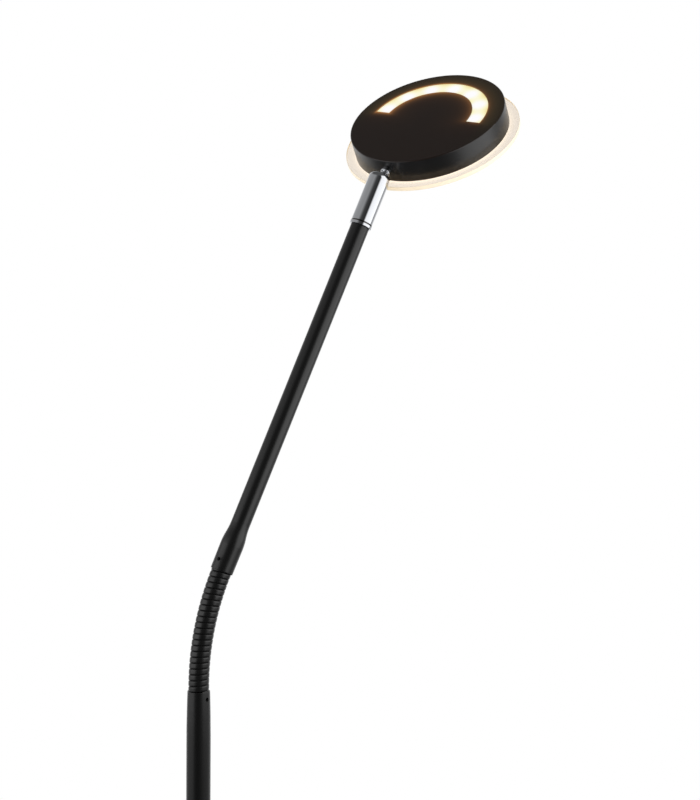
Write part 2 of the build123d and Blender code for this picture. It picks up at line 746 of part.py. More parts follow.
def stem_nut():
    top = STEM_NUT_FOOT + STEM_NUT_THICK
    nut = hexagon(STEM_NUT_ACROSS, STEM_NUT_FOOT, top)
    return STEM_FRAME * (nut - bar(SHANK_RADIUS + FIT, STEM_NUT_FOOT - FREE, top + FREE))


def stem_lead():
    """The lead's cores inside the shank."""
    return STEM_FRAME * bar(STEM_LEAD_RADIUS, BELL_MOUTH_DEPTH - BALL_RADIUS, SHANK_END)


# Head


def head_housing():
    """Drum open below, with the half-ring slot in its top, the stem hole and three posts."""
    drum = bar(DRUM_RADIUS, DRUM_BOTTOM, DRUM_TOP)
    drum = fillet(drum.edges().group_by(Axis.Z)[-1], DRUM_ROUND)
    drum -= bar(DRUM_BORE, DRUM_BOTTOM - DRUM_WALL, DRUM_CEILING)
    for spot in POST_SPOTS:
        drum += Pos(*spot) * bar(POST_RADIUS, CARRIER_TOP, DRUM_CEILING + FREE)
    screw_end = CARRIER_HEIGHT + CARRIER_SCREW_LENGTH + FREE
    for spot in POST_SPOTS:
        drum -= Pos(*spot) * bar(CARRIER_SCREW_RADIUS + FIT, CARRIER_TOP - FREE, screw_end)
    drum -= half_ring(SLOT_INNER, SLOT_OUTER, DRUM_CEILING - FREE, DRUM_TOP + FREE, 0)
    drum -= bar_along_x(SHANK_RADIUS + FIT, -DRUM_RADIUS - DRUM_WALL, -DRUM_BORE + DRUM_WALL)
    return HEAD_FRAME * drum


def uplight_diffuser():
    """Frosted strip in the slot, with a flange under the drum's top."""
    strip = half_ring(
        SLOT_INNER + STRIP_GAP,
        SLOT_OUTER - STRIP_GAP,
        STRIP_FLANGE_BOTTOM,
        DRUM_TOP - STRIP_SUNK,
        STRIP_GAP,
    )
    flange = half_ring(
        SLOT_INNER - STRIP_FLANGE,
        SLOT_OUTER + STRIP_FLANGE,
        STRIP_FLANGE_BOTTOM,
        DRUM_CEILING,
        -STRIP_FLANGE,
    )
    return HEAD_FRAME * (strip + flange)


def carrier_plate():
    """Aluminium disc on the posts that carries the boards and spreads their heat."""
    plate = bar(CARRIER_RADIUS, CARRIER_HEIGHT, CARRIER_TOP)
    for spot in POST_SPOTS:
        plate -= Pos(*spot) * bar(CARRIER_SCREW_RADIUS + FIT, CARRIER_HEIGHT - FREE, CARRIER_TOP + FREE)
    return HEAD_FRAME * plate


def carrier_screws():
    head_foot = CARRIER_HEIGHT - CARRIER_SCREW_HEAD_THICK
    screw = turned(
        (0, head_foot),
        (CARRIER_SCREW_HEAD_RADIUS, head_foot),
        (CARRIER_SCREW_HEAD_RADIUS, CARRIER_HEIGHT),
        (CARRIER_SCREW_RADIUS, CARRIER_HEIGHT),
        (CARRIER_SCREW_RADIUS, CARRIER_HEIGHT + CARRIER_SCREW_LENGTH),
        (0, CARRIER_HEIGHT + CARRIER_SCREW_LENGTH),
    )
    return [HEAD_FRAME * Pos(*spot) * screw for spot in POST_SPOTS]


def uplight_board():
    """Half-ring board on the carrier, under the slot."""
    inner = SLOT_INNER + UP_BOARD_MARGIN
    outer = SLOT_OUTER - UP_BOARD_MARGIN
    return HEAD_FRAME * half_ring(inner, outer, CARRIER_TOP, CARRIER_TOP + BOARD_THICK, 0)


def chip(size, thick, radius, angle, bottom):
    """Square light chip on a board, turned to face its circle."""
    block = Box(size, size, thick, align=(Align.CENTER, Align.CENTER, Align.MIN))
    return HEAD_FRAME * Pos(*polar(radius, angle, bottom)) * Rot(0, 0, angle) * block


def uplight_chips():
    radius = (SLOT_INNER + SLOT_OUTER) / 2
    foot = CARRIER_TOP + BOARD_THICK
    angles = [UP_CHIP_STEP * (i - (UP_CHIP_COUNT - 1) / 2) for i in range(UP_CHIP_COUNT)]
    return [chip(UP_CHIP_SIZE, UP_CHIP_THICK, radius, angle, foot) for angle in angles]


def downlight_board():
    """Ring board under the carrier."""
    return HEAD_FRAME * tube(DOWN_BOARD_INNER, DOWN_BOARD_OUTER, CARRIER_HEIGHT - BOARD_THICK, CARRIER_HEIGHT)


def downlight_chips():
    radius = (DOWN_BOARD_INNER + DOWN_BOARD_OUTER) / 2
    step = 360 / DOWN_CHIP_COUNT
    foot = CARRIER_HEIGHT - BOARD_THICK - DOWN_CHIP_THICK
    angles = [step * (i + 0.5) for i in range(DOWN_CHIP_COUNT)]
    return [chip(DOWN_CHIP_SIZE, DOWN_CHIP_THICK, radius, angle, foot) for angle in angles]


DRIVER_FOOT = CARRIER_HEIGHT - BOARD_THICK
TERMINAL_FACE = -DRIVER_LENGTH / 2


def driver_board():
    """Driver under the carrier's middle: board, terminal block, choke and capacitors."""
    below = (Align.CENTER, Align.CENTER, Align.MAX)
    board = Box(DRIVER_LENGTH, DRIVER_WIDTH, BOARD_THICK, align=below)
    driver = Pos(0, 0, CARRIER_HEIGHT) * board
    terminal_height = DRIVER_FOOT + STEM_LEAD_RADIUS + TERMINAL_DROP
    terminal = Box(TERMINAL_SIZE, TERMINAL_SIZE, terminal_height, align=(Align.MIN, Align.CENTER, Align.MAX))
    driver += Pos(TERMINAL_FACE, 0, DRIVER_FOOT) * terminal
    driver += Pos(0, 0, DRIVER_FOOT) * Box(COIL_SIZE, COIL_SIZE, COIL_THICK, align=below)
    for side in (-1, 1):
        can = bar(CAPACITOR_RADIUS, DRIVER_FOOT - CAPACITOR_LENGTH, DRIVER_FOOT)
        driver += Pos(DRIVER_LENGTH / 3, side * DRIVER_WIDTH / 4, 0) * can
    return HEAD_FRAME * driver


def head_lead():
    """The lead's cores from the shank's end to the terminal block."""
    start = SHANK_END - DRUM_CENTRE + FREE
    return HEAD_FRAME * bar_along_x(STEM_LEAD_RADIUS, start, TERMINAL_FACE)


def diffuser_disc():
    """Acrylic disc wider than the drum, with a plug that fits inside it."""
    plug = DRUM_BORE - DISC_PLUG_GAP
    plug_top = DRUM_BOTTOM + DISC_PLUG_THICK
    groove = plug - GASKET_DEPTH
    groove_foot = DRUM_BOTTOM + (DISC_PLUG_THICK - GASKET_HEIGHT) / 2
    disc = bar(DISC_RADIUS, DRUM_BOTTOM - DISC_THICK, DRUM_BOTTOM)
    disc = fillet(disc.edges().filter_by(GeomType.CIRCLE), DISC_ROUND)
    disc += bar(plug, DRUM_BOTTOM - FREE, plug_top)
    disc -= tube(groove, DRUM_RADIUS, groove_foot, groove_foot + GASKET_HEIGHT)
    return HEAD_FRAME * disc


def disc_gasket():
    """Silicone ring in the plug's groove that grips the drum's wall."""
    inner = DRUM_BORE - DISC_PLUG_GAP - GASKET_DEPTH + FIT
    foot = DRUM_BOTTOM + (DISC_PLUG_THICK - GASKET_HEIGHT) / 2
    return HEAD_FRAME * tube(inner, DRUM_BORE - FIT, foot + FIT, foot + GASKET_HEIGHT - FIT)


PIECES = [
    base_pad,
    base_plate,
    base_screws,
    base_weight,
    base_cover,
    cord_grommet,
    pole_nut,
    pole_washer,
    pole_stud,
    lower_pole,
    pole_joiner,
    upper_pole,
    pole_set_screw,
    pole_lead,
    lower_ferrule,
    neck_winding,
    neck_core,
    neck_lead,
    upper_ferrule,
    arm_tube,
    arm_set_screw,
    arm_lead,
    arm_spigot,
    cup_ring,
    ball_cup,
    ball_seat,
    seat_spring,
    ball_stem,
    stem_washer,
    stem_nut,
    stem_lead,
    head_housing,
    uplight_diffuser,
    uplight_board,
    uplight_chips,
    carrier_plate,
    carrier_screws,
    downlight_board,
    downlight_chips,
    driver_board,
    head_lead,
    diffuser_disc,
    disc_gasket,
]

os.makedirs("parts", exist_ok=True)
for piece in PIECES:
    made = piece()
    shape = Compound(children=made) if isinstance(made, list) else made
    export_step(shape, f"parts/{piece.__name__}.step")
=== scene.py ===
import json
import math

import bmesh
import bpy
from mathutils import Matrix, Vector


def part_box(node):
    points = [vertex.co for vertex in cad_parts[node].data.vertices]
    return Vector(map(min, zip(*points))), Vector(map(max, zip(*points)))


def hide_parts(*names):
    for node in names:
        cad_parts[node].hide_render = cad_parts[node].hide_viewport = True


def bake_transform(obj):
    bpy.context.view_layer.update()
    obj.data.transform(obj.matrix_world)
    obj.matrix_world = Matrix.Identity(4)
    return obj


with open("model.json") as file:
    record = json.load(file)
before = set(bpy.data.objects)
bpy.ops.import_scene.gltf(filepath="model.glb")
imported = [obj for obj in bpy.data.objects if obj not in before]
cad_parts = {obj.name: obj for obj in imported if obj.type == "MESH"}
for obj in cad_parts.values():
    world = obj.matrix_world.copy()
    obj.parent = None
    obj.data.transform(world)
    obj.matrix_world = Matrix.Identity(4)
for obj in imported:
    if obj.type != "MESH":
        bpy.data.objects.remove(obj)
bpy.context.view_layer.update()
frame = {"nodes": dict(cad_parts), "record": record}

# Task floor lamp: finishes, gooseneck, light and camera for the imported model, in metres in its own frame

# Directions and places read from the joints and pieces
JOINTS = {joint["name"]: joint for joint in frame["record"]["behaviour"]["joints"]}
NODES = frame["nodes"]
UP = Vector((0, 0, 1))
BALL_CENTRE = Vector(JOINTS["head_tilt"]["pos_m"])
CUP_FOOT = Vector(JOINTS["knuckle_turn"]["pos_m"])
ARM_AXIS = Vector(JOINTS["knuckle_turn"]["axis"])
STEM_AXIS = Vector(JOINTS["head_roll"]["axis"])
TILT_AXIS = Vector(JOINTS["head_tilt"]["axis"])
POLE_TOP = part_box("upper_pole")[1][2]
NECK_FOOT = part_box("lower_ferrule")[1][2]

# Head, with heights from the middle of its stem
HEAD_ROLL = math.radians(-5.54)
STEM_REACH = 0.014
DRUM_RADIUS = 0.0725
DRUM_TOP = 0.010
DRUM_BOTTOM = -0.011
DISC_RADIUS = 0.082
DISC_THICK = 0.004
SLOT_INNER = 0.0423
SLOT_OUTER = 0.0571
CHIP_STEP = math.radians(27.2)
HEAD_CENTRE = BALL_CENTRE + STEM_AXIS * (STEM_REACH + DRUM_RADIUS)
HEAD_UP = Matrix.Rotation(HEAD_ROLL, 3, STEM_AXIS) @ STEM_AXIS.cross(TILT_AXIS)
HEAD_SIDE = HEAD_UP.cross(STEM_AXIS)

# Grain of the black paint and of the chrome
PAINT = {"rough": (0.27, 0.33), "grain": 900.0, "relief": 0.05, "depth": 0.0001}
PAINT_SPECULAR = 0.8
CHROME = {"rough": (0.05, 0.08), "grain": 400.0, "relief": 0.01, "depth": 0.00002}
CHROME_DARK = (0.842, 0.858, 0.892)
CHROME_MIDDLE = (0.862, 0.878, 0.912)
CHROME_LIGHT = (0.882, 0.898, 0.932)

# Painted shade in the groove between the cup and its ring, by height over the arm's end
GROOVE_LOW = 0.0026
GROOVE_HIGH = 0.0037
GROOVE_FADE = 0.0002
GROOVE_SHADE_TONE = (0.14, 0.13, 0.12)

# Drum: its side colour, a browner top colour that is painted warm light from the strip, and the light that
# spills on it, painted as glow in the paint, as strength and reach
DRUM_SIDE_TONE = (0.009, 0.009, 0.0095)
DRUM_TOP_WARM_LIGHT_TONE = (0.006, 0.002, 0.0015)
DRUM_TOP_EDGE = (DRUM_TOP - 0.0012, DRUM_TOP - 0.0002)
NEAR_TINT = (1.0, 0.42, 0.12)
OUTER_TINT = (1.0, 0.66, 0.20)
OUTER_TINT_REACH = 0.00833
CLOSE_SPILL = (0.06, 0.004)
WIDE_SPILL = (0.018, 0.014)
EVEN_SPILL = 0.004
FOOT_SPILL = (0.010, 0.003)

# Glow at the slot's inner edge: it rises along the head's Y, and the end at low Y has a level of its own
INNER_REACH = 0.0025
INNER_LEVEL = 0.22
INNER_RISE = 4.0
INNER_MOST = 0.30
INNER_END = (-0.044, -0.052)
INNER_END_LEVEL = 0.28

# Weights of distances beyond the slot's outer edge and beyond its ends, and the slope of the line of its ends
OUTSIDE_WEIGHT = 4.0
END_WEIGHT = 1.7
END_SLOPE = 0.015

# Strip: brightness along its middle, and what it and its swing between the chips gain at the edges
STRIP_TONE = (0.30, 0.28, 0.24, 1)
STRIP_ROUGH = 0.45
STRIP_TINTS = ((0.70, 0.58, 0.22), (0.78, 0.75, 0.46), (0.80, 0.80, 0.84))
STRIP_MIDDLE = 0.048
STRIP_HALF = 0.008
STRIP_LEVEL = 0.88
STRIP_LEVEL_GAIN = -0.50
STRIP_SWING = 0.25
STRIP_SWING_GAIN = 0.05

# Disc: the wall at its rim, the leak along the drum and the lit panel under it
DISC_TONE = (0.84, 0.785, 0.725, 1)
DISC_IOR = 1.49
DISC_GRAIN = 250.0
DISC_ROUGH = (0.18, 0.26)
DISC_TINTS = ((1.0, 0.78, 0.50), (1.0, 0.84, 0.50))
DISC_WALL = (DISC_RADIUS - 0.0007, DISC_RADIUS - 0.0001)
DISC_WALL_CLEAR = 0.2
DISC_WALL_GLOW = 0.18
DISC_GLOW = 0.065
DISC_LEAK = (0.12, 0.0030)
PANEL_GLOW = 0.6
PANEL_BORDER = 0.010
PANEL_TOP = DRUM_BOTTOM - 0.001

# Light chips
CHIP_GRAIN = 300.0
CHIP_TONES = ((0.9, 0.7, 0.3), (1.0, 0.85, 0.45))
CHIP_TINT = (1.0, 0.85, 0.6, 1)
CHIP_GLOW = 2.0

# Gooseneck
NECK_SEAT = POLE_TOP - NECK_FOOT
NECK_STRAIGHT = 0.0083
NECK_ARC = 0.10106
NECK_LENGTH = NECK_STRAIGHT + NECK_ARC + NECK_SEAT
NECK_BEND_RADIUS = NECK_ARC / ARM_AXIS.angle(UP)
NECK_TURNS = 22
NECK_PITCH = NECK_LENGTH / (NECK_TURNS + 1)
NECK_START = math.radians(-90)
NECK_CREST = 0.00895
BAND_FOOT = 0.0050
BAND_GAP = 0.00002
BAND_CROWN = 0.00065
BAND_POWER = 6
BAND_POINTS = 8
STEPS_PER_TURN = 48
CORE_RADIUS = 0.00431
CORE_BORE = 0.00301
LEAD_RADIUS = 0.0019
SLEEVE_RINGS = 25
SLEEVE_SIDES = 24
SHARP_ANGLE = math.radians(50)

# Camera, fitted to the outlines in the photograph
CAMERA_PLACE = Vector((-0.5867, -1.4217, 0.3407 + POLE_TOP))
CAMERA_AZIMUTH = math.radians(-27.2)
CAMERA_PITCH = math.radians(3.32)
CAMERA_ROLL = math.radians(0.50)
CAMERA_LENS = 81.0
CAMERA_CLIP = (0.01, 50.0)
SENSOR = 36.0

# Room in reflections: brightness by bearing in degrees about the arm, from the camera to its right
ROOM = [
    (-180, 1.0),
    (-155, 0.90),
    (-134, 0.39),
    (-97, 0.30),
    (-51, 0.30),
    (-30, 0.10),
    (-21, 0.05),
    (0, 0.03),
    (12, 0.03),
    (40, 0.10),
    (112, 0.30),
    (134, 0.50),
    (155, 0.90),
    (180, 1.0),
]
ROOM_DIM = 0.03
ROOM_OVERHEAD = 0.05
ROOM_LOW = (-0.75, -0.25)
ROOM_HIGH = (0.55, 0.80)
SKY_DIFFUSE = 0.55

# Soft panels: bearing in degrees right of the camera, fades as shares of their width and height
SOFTBOX_AIM = Vector((0.14, 0.0, 0.0))
SOFTBOXES = {
    "softbox_right": {
        "bearing": 52.0,
        "distance": 0.7,
        "width": 1.86,
        "low": 0.72,
        "high": 2.0,
        "radiance": 0.92,
        "fade_in": (0.29, 0.39),
        "fade_up": (0.0, 0.12),
    },
    "softbox_left": {
        "bearing": -72.0,
        "distance": 1.0,
        "width": 1.15,
        "low": 0.68,
        "high": 1.5,
        "radiance": 0.6,
        "fade_in": (0.0, 0.1),
        "fade_up": (0.0, 0.12),
    },
}

# Floor
FLOOR_RADIUS = 0.28
FLOOR_LEVEL = -0.0004
FLOOR_SIDES = 96
FLOOR_TONE = (0.85, 0.85, 0.85, 1)
FLOOR_ROUGH = 0.9
FLOOR_GLOW = 0.4


# Material helpers


def new_material(name):
    """Empty principled material: returns it with its node tree and shader."""
    material = bpy.data.materials.new(name)
    material.use_nodes = True
    tree = material.node_tree
    return material, tree, tree.nodes["Principled BSDF"]


def add(tree, kind, **values):
    """New shader node with properties and input values set by name."""
    node = tree.nodes.new(kind)
    for key, value in values.items():
        if hasattr(node, key):
            setattr(node, key, value)
        else:
            node.inputs[key].default_value = value
    return node


def feed(tree, socket, value):
    """Sets a socket to a number, or links an output to it."""
    if isinstance(value, (int, float)):
        socket.default_value = value
    else:
        tree.links.new(value, socket)


def calc(tree, operation, *values):
    """One math step on outputs or numbers."""
    node = add(tree, "ShaderNodeMath", operation=operation)
    for socket, value in zip(node.inputs, values):
        feed(tree, socket, value)
    return node.outputs["Value"]


def positive(tree, value):
    """The value where it is above zero, and zero elsewhere."""
    return calc(tree, "MAXIMUM", value, 0.0)


def diagonal(tree, first, second):
    """Length of the diagonal of two sides."""
    squares = [calc(tree, "POWER", side, 2.0) for side in (first, second)]
    return calc(tree, "SQRT", calc(tree, "ADD", *squares))


def fading(tree, distance, amount, reach):
    """Light that falls off with a distance, to about a third at its reach."""
    share = calc(tree, "EXPONENT", calc(tree, "DIVIDE", distance, -reach))
    return calc(tree, "MULTIPLY", share, amount)


def mixed(tree, share, first, second):
    """A value between two others, by a 0 to 1 share."""
    node = add(tree, "ShaderNodeMix", data_type="FLOAT")
    feed(tree, node.inputs["Factor"], share)
    feed(tree, node.inputs["A"], first)
    feed(tree, node.inputs["B"], second)
    return node.outputs["Result"]


def along(tree, place, axis):
    """How far a vector reaches along a direction."""
    node = add(tree, "ShaderNodeVectorMath", operation="DOT_PRODUCT")
    node.inputs[1].default_value = axis
    tree.links.new(place, node.inputs[0])
    return node.outputs["Value"]


def noise(tree, scale):
    """Noise in the piece's own coordinates; returns its grey output."""
    place = add(tree, "ShaderNodeTexCoord")
    texture = add(tree, "ShaderNodeTexNoise", Scale=scale, Detail=2.0)
    tree.links.new(place.outputs["Object"], texture.inputs["Vector"])
    return texture.outputs["Fac"]


def ranged(tree, value, low, high):
    """A 0 to 1 value mapped to low..high."""
    node = add(tree, "ShaderNodeMapRange")
    node.inputs["To Min"].default_value = low
    node.inputs["To Max"].default_value = high
    tree.links.new(value, node.inputs["Value"])
    return node.outputs["Result"]


def smooth(tree, value, start, end, easing="SMOOTHSTEP"):
    """0 before start, 1 after end, eased between them."""
    node = add(tree, "ShaderNodeMapRange", interpolation_type=easing)
    node.inputs["From Min"].default_value = start
    node.inputs["From Max"].default_value = end
    tree.links.new(value, node.inputs["Value"])
    return node.outputs["Result"]


def ramp(tree, value, stops):
    """A 0 to 1 value mapped to colours at their positions."""
    node = add(tree, "ShaderNodeValToRGB")
    elements = node.color_ramp.elements
    while len(elements) < len(stops):
        elements.new(0.5)
    for element, (position, colour) in zip(elements, stops):
        element.position = position
        element.color = (*colour, 1)
    tree.links.new(value, node.inputs["Fac"])
    return node.outputs["Color"]


def tinted(tree, value, *colours):
    """A 0 to 1 value mapped to colours spread evenly over it."""
    last = len(colours) - 1
    return ramp(tree, value, [(index / last, colour) for index, colour in enumerate(colours)])


def grained(tree, shader, rough, grain, relief, depth):
    """Grain in gloss and relief; returns its grey value."""
    value = noise(tree, grain)
    tree.links.new(ranged(tree, value, *rough), shader.inputs["Roughness"])
    bump = add(tree, "ShaderNodeBump", Strength=relief, Distance=depth)
    tree.links.new(value, bump.inputs["Height"])
    tree.links.new(bump.outputs["Normal"], shader.inputs["Normal"])
    return value


def surface(name, dark, light, rough, metal=0.0, grain=400.0, relief=0.1, depth=0.0001, specular=0.5):
    """Plain finish with grain in its colour, gloss and relief."""
    material, tree, shader = new_material(name)
    value = grained(tree, shader, rough, grain, relief, depth)
    tree.links.new(tinted(tree, value, dark, light), shader.inputs["Base Color"])
    shader.inputs["Metallic"].default_value = metal
    shader.inputs["Specular IOR Level"].default_value = specular
    return material


def head_place(tree):
    """Coordinates in the head's own frame: X away from the stem, Z up through the drum."""
    turn = Matrix((STEM_AXIS, HEAD_SIDE, HEAD_UP))
    place = add(tree, "ShaderNodeTexCoord")
    mapping = add(tree, "ShaderNodeMapping", vector_type="POINT")
    mapping.inputs["Location"].default_value = -(turn @ HEAD_CENTRE)
    mapping.inputs["Rotation"].default_value = turn.to_euler()
    tree.links.new(place.outputs["Object"], mapping.inputs["Vector"])
    split = add(tree, "ShaderNodeSeparateXYZ")
    tree.links.new(mapping.outputs["Vector"], split.inputs["Vector"])
    return split.outputs


# Finishes of the lamp


def slot_spill(tree, axes, inside, outside):
    """Light around the slot on the drum's top: strong at its inner edge, faint and wide elsewhere."""
    ahead = calc(tree, "MULTIPLY_ADD", axes["Y"], END_SLOPE, axes["X"])
    past_end = positive(tree, calc(tree, "MULTIPLY", ahead, -END_WEIGHT))
    off_inner = diagonal(tree, calc(tree, "MULTIPLY_ADD", outside, OUTSIDE_WEIGHT, inside), past_end)
    off_slot = diagonal(tree, calc(tree, "ADD", inside, outside), past_end)
    rising = positive(tree, calc(tree, "MULTIPLY_ADD", axes["Y"], INNER_RISE, INNER_LEVEL))
    low_end = calc(tree, "MULTIPLY", smooth(tree, axes["Y"], *INNER_END), INNER_END_LEVEL)
    strong = calc(tree, "MAXIMUM", calc(tree, "MINIMUM", rising, INNER_MOST), low_end)
    inner = fading(tree, off_inner, strong, INNER_REACH)
    wide = calc(tree, "ADD", fading(tree, off_slot, *CLOSE_SPILL), fading(tree, off_slot, *WIDE_SPILL))
    return calc(tree, "ADD", inner, calc(tree, "ADD", wide, EVEN_SPILL))


def drum_paint():
    """Powder coat with the warm spill of the slot on the drum's top and of the disc at its foot, painted as
    glow in the paint, and a browner top that is painted warm light.
    """
    material, tree, shader = new_material("drum_black_paint")
    grained(tree, shader, **PAINT)
    shader.inputs["Specular IOR Level"].default_value = PAINT_SPECULAR
    axes = head_place(tree)
    on_top = smooth(tree, axes["Z"], *DRUM_TOP_EDGE)
    # Browner top colour: painted warm light from the strip; the side keeps the paint's own tone.
    tree.links.new(tinted(tree, on_top, DRUM_SIDE_TONE, DRUM_TOP_WARM_LIGHT_TONE), shader.inputs["Base Color"])
    radius = diagonal(tree, positive(tree, axes["X"]), axes["Y"])
    inside = positive(tree, calc(tree, "SUBTRACT", SLOT_INNER, radius))
    outside = positive(tree, calc(tree, "SUBTRACT", radius, SLOT_OUTER))
    # The spill is painted glow in the paint, not light cast by the strip or the disc.
    top_glow = calc(tree, "MULTIPLY", slot_spill(tree, axes, inside, outside), on_top)
    foot_glow = fading(tree, calc(tree, "SUBTRACT", axes["Z"], DRUM_BOTTOM), *FOOT_SPILL)
    tree.links.new(calc(tree, "ADD", top_glow, foot_glow), shader.inputs["Emission Strength"])
    tint = tinted(tree, calc(tree, "DIVIDE", outside, OUTER_TINT_REACH), NEAR_TINT, OUTER_TINT)
    tree.links.new(tint, shader.inputs["Emission Color"])
    return material


def chrome_with_groove_shade():
    """Chrome of the cup and its ring, with painted shade: darker in the groove between them."""
    material, tree, shader = new_material("chrome_with_groove_shade")
    grained(tree, shader, **CHROME)
    shader.inputs["Metallic"].default_value = 1.0
    place = add(tree, "ShaderNodeTexCoord")
    height = calc(tree, "SUBTRACT", along(tree, place.outputs["Object"], ARM_AXIS), CUP_FOOT.dot(ARM_AXIS))
    above = smooth(tree, height, GROOVE_LOW - GROOVE_FADE, GROOVE_LOW)
    below = smooth(tree, height, GROOVE_HIGH + GROOVE_FADE, GROOVE_HIGH)
    inside = calc(tree, "MULTIPLY", above, below)
    # The darker colour in the groove is painted shade.
    tree.links.new(tinted(tree, inside, CHROME_MIDDLE, GROOVE_SHADE_TONE), shader.inputs["Base Color"])
    return material


def lit_strip():
    """Frosted strip, white over each light chip and yellower between them and along its edges."""
    material, tree, shader = new_material("frosted_strip_lit")
    shader.inputs["Base Color"].default_value = STRIP_TONE
    shader.inputs["Roughness"].default_value = STRIP_ROUGH
    shader.inputs["Emission Strength"].default_value = 1.0
    axes = head_place(tree)
    angle = calc(tree, "ARCTAN2", axes["Y"], axes["X"])
    ripple = calc(tree, "COSINE", calc(tree, "MULTIPLY", angle, 2 * math.pi / CHIP_STEP))
    off = calc(tree, "SUBTRACT", diagonal(tree, axes["X"], axes["Y"]), STRIP_MIDDLE)
    edge = calc(tree, "POWER", calc(tree, "DIVIDE", off, STRIP_HALF), 2.0)
    level = calc(tree, "MULTIPLY_ADD", edge, STRIP_LEVEL_GAIN, STRIP_LEVEL)
    swing = calc(tree, "MULTIPLY_ADD", edge, STRIP_SWING_GAIN, STRIP_SWING)
    hot = calc(tree, "MULTIPLY_ADD", ripple, swing, level)
    tree.links.new(tinted(tree, hot, *STRIP_TINTS), shader.inputs["Emission Color"])
    return material


def acrylic_disc():
    """Clear rim that carries light to its edge, satin and lit under the drum."""
    material, tree, shader = new_material("acrylic_disc_lit")
    shader.inputs["Base Color"].default_value = DISC_TONE
    shader.inputs["IOR"].default_value = DISC_IOR
    tree.links.new(ranged(tree, noise(tree, DISC_GRAIN), *DISC_ROUGH), shader.inputs["Roughness"])
    axes = head_place(tree)
    radius = diagonal(tree, axes["X"], axes["Y"])
    wall = smooth(tree, radius, *DISC_WALL)
    tree.links.new(ranged(tree, wall, 1.0, DISC_WALL_CLEAR), shader.inputs["Transmission Weight"])
    leak = fading(tree, positive(tree, calc(tree, "SUBTRACT", radius, DRUM_RADIUS)), *DISC_LEAK)
    below = smooth(tree, axes["Z"], PANEL_TOP, DRUM_BOTTOM - DISC_THICK)
    under = smooth(tree, radius, DRUM_RADIUS, DRUM_RADIUS - PANEL_BORDER)
    panel = calc(tree, "MULTIPLY", calc(tree, "MULTIPLY", below, under), PANEL_GLOW)
    lit = calc(tree, "ADD", calc(tree, "ADD", leak, panel), calc(tree, "MULTIPLY", wall, DISC_WALL_GLOW))
    tree.links.new(calc(tree, "ADD", lit, DISC_GLOW), shader.inputs["Emission Strength"])
    tree.links.new(tinted(tree, wall, *DISC_TINTS), shader.inputs["Emission Color"])
    return material


def light_chip():
    """Yellow light chip, lit."""
    material, tree, shader = new_material("light_chip_lit")
    tree.links.new(tinted(tree, noise(tree, CHIP_GRAIN), *CHIP_TONES), shader.inputs["Base Color"])
    shader.inputs["Emission Color"].default_value = CHIP_TINT
    shader.inputs["Emission Strength"].default_value = CHIP_GLOW
    return material


def metal_finishes():
    """Bare, plated and cast metals by slot."""
    return {
        "steel": surface(
            "zinc_plated_steel", (0.45, 0.46, 0.48), (0.62, 0.63, 0.64), (0.25, 0.4), metal=1.0, grain=250.0
        ),
        "cast_iron": surface(
            "cast_iron", (0.05, 0.05, 0.05), (0.09, 0.09, 0.09), (0.6, 0.8), relief=0.5, depth=0.0004
        ),
        "black_screw": surface(
            "black_oxide", (0.008, 0.008, 0.008), (0.014, 0.014, 0.014), (0.3, 0.45), metal=0.6
        ),
        "chrome": surface("polished_chrome", CHROME_DARK, CHROME_LIGHT, metal=1.0, **CHROME),
        "aluminium": surface(
            "bare_aluminium", (0.70, 0.71, 0.72), (0.80, 0.81, 0.82), (0.3, 0.45), metal=1.0, grain=200.0
        ),
    }


def other_finishes():
    """Paint, plastics, rubber, felt and boards by slot."""
    paint = surface(
        "satin_black_paint", (0.0045, 0.0045, 0.0045), (0.006, 0.006, 0.006), specular=PAINT_SPECULAR, **PAINT
    )
    felt_grain = {"grain": 1500.0, "relief": 0.6, "depth": 0.0005}
    return {
        "black_paint": paint,
        "black_wire": paint,
        "felt": surface("needled_felt", (0.03, 0.03, 0.032), (0.07, 0.07, 0.072), (0.9, 1.0), **felt_grain),
        "black_rubber": surface(
            "black_rubber", (0.012, 0.012, 0.012), (0.02, 0.02, 0.02), (0.55, 0.7), grain=600.0
        ),
        "nylon": surface("natural_nylon", (0.70, 0.69, 0.64), (0.80, 0.79, 0.74), (0.4, 0.55)),
        "white_board": surface(
            "white_board", (0.72, 0.73, 0.72), (0.82, 0.82, 0.81), (0.35, 0.5), grain=120.0
        ),
        "silicone": surface("silicone", (0.6, 0.6, 0.6), (0.7, 0.7, 0.7), (0.4, 0.5)),
        "light_chip": light_chip(),
        "frosted_acrylic": lit_strip(),
        "clear_acrylic": acrylic_disc(),
    }


def dress_nodes():
    """Gives every CAD node its finish; returns the finishes by slot."""
    finishes = {**metal_finishes(), **other_finishes()}
    groove_shaded_chrome = chrome_with_groove_shade()
    own = {"head_housing": drum_paint(), "ball_cup": groove_shaded_chrome, "cup_ring": groove_shaded_chrome}
    for entry in frame["record"]["subparts"]:
        slots = NODES[entry["node"]].data.materials
        slots.clear()
        slots.append(own.get(entry["node"], finishes[entry["material_slot"]]))
    return finishes


# Gooseneck


def neck_point(length):
    """Point on the gooseneck's axis with its outward direction; the other side is +Y."""
    bend = min(max(length - NECK_STRAIGHT, 0), NECK_ARC) / NECK_BEND_RADIUS
    ahead = Vector((math.sin(bend), 0, math.cos(bend)))
    out = Vector((math.cos(bend), 0, -math.sin(bend)))
    foot = Vector((0, 0, NECK_FOOT + min(length, NECK_STRAIGHT)))
    arc = Vector((1 - math.cos(bend), 0, math.sin(bend))) * NECK_BEND_RADIUS
    past = max(length - NECK_STRAIGHT - NECK_ARC, 0)
    return foot + arc + ahead * past, out


def on_neck(length, angle, radius):
    """Point at a radius from the gooseneck's axis."""
    centre, out = neck_point(length)
    return centre + out * (radius * math.cos(angle)) + Vector((0, radius * math.sin(angle), 0))


